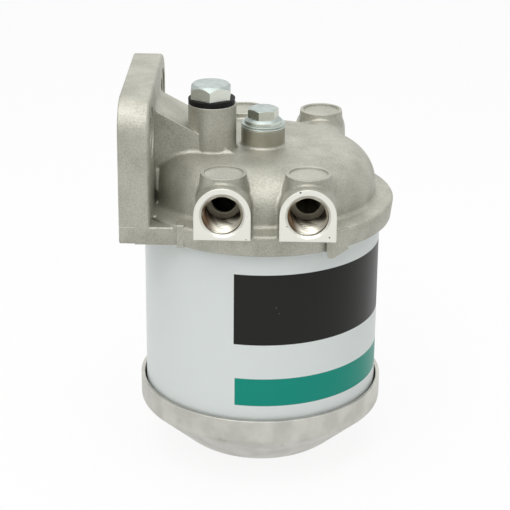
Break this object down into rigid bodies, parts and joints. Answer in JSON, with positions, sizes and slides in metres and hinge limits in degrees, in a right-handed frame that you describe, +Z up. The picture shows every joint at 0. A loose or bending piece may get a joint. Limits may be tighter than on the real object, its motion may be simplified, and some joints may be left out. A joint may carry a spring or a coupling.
{
  "type": "fuel filter assembly",
  "caption": "Diesel fuel filter: cast head with a mounting flange and threaded ports, a sheet can with a rolled paper element, and a cast bowl held on by a long centre bolt.",
  "frame": {"origin": "on the axis of the can and centre bolt, level with the foot of the bowl", "axes": "+Z up along the centre bolt; the mounting flange faces -X; two ports face -Y and two face +Y"},
  "size_m": [0.0978, 0.102, 0.1432],
  "materials": {
    "cast_aluminium": "satin",
    "zinc_plated_steel": "satin",
    "printed_sheet": "satin",
    "sheet_steel": "satin",
    "filter_paper": "matt",
    "black_rubber": "matt",
    "copper": "satin"
  },
  "bodies": {
    "filter": {"filter_head": "cast_aluminium", "base_bowl": "cast_aluminium", "centre_bolt_o_ring": "black_rubber", "element_can": "printed_sheet", "element_top_plate": "sheet_steel", "element_bottom_plate": "sheet_steel", "element_centre_tube": "sheet_steel", "filter_paper": "filter_paper", "head_seal_ring": "black_rubber", "base_seal_ring": "black_rubber", "inner_seal_ring": "black_rubber"},
    "vent_washer": {"vent_plug_washer": "black_rubber"},
    "vent_screw": {"vent_plug": "zinc_plated_steel"},
    "bolt_washer": {"centre_bolt_washer": "zinc_plated_steel"},
    "bolt": {"centre_bolt": "zinc_plated_steel"},
    "drain_washer": {"drain_plug_washer": "copper"},
    "drain_screw": {"drain_plug": "zinc_plated_steel"}
  },
  "joints": [
    {"name": "vent_plug_lift", "type": "slide", "parent": "filter", "child": "vent_washer", "axis": [0, 0, 1], "range_m": [0, 0.0101]},
    {"name": "vent_plug_turn", "type": "hinge", "parent": "vent_washer", "child": "vent_screw", "pos_m": [-0.0188, -0.0048, 0.1347], "axis": [0, 0, 1], "range_deg": [0, 3600]},
    {"name": "centre_bolt_lift", "type": "slide", "parent": "filter", "child": "bolt_washer", "axis": [0, 0, 1], "range_m": [0, 0.01135]},
    {"name": "centre_bolt_turn", "type": "hinge", "parent": "bolt_washer", "child": "bolt", "pos_m": [0, 0, 0.1263], "axis": [0, 0, 1], "range_deg": [0, 3240]},
    {"name": "drain_plug_lift", "type": "slide", "parent": "filter", "child": "drain_washer", "axis": [0, 0, -1], "range_m": [0, 0.0061]},
    {"name": "drain_plug_turn", "type": "hinge", "parent": "drain_washer", "child": "drain_screw", "pos_m": [0, 0, 0.0061], "axis": [0, 0, -1], "range_deg": [0, 2160]}
  ],
  "couplings": [
    {"joint": "vent_plug_lift", "follows": "vent_plug_turn", "m_per_rad": 0.00015915},
    {"joint": "centre_bolt_lift", "follows": "centre_bolt_turn", "m_per_rad": 0.00019894},
    {"joint": "drain_plug_lift", "follows": "drain_plug_turn", "m_per_rad": 0.00015915}
  ]
}
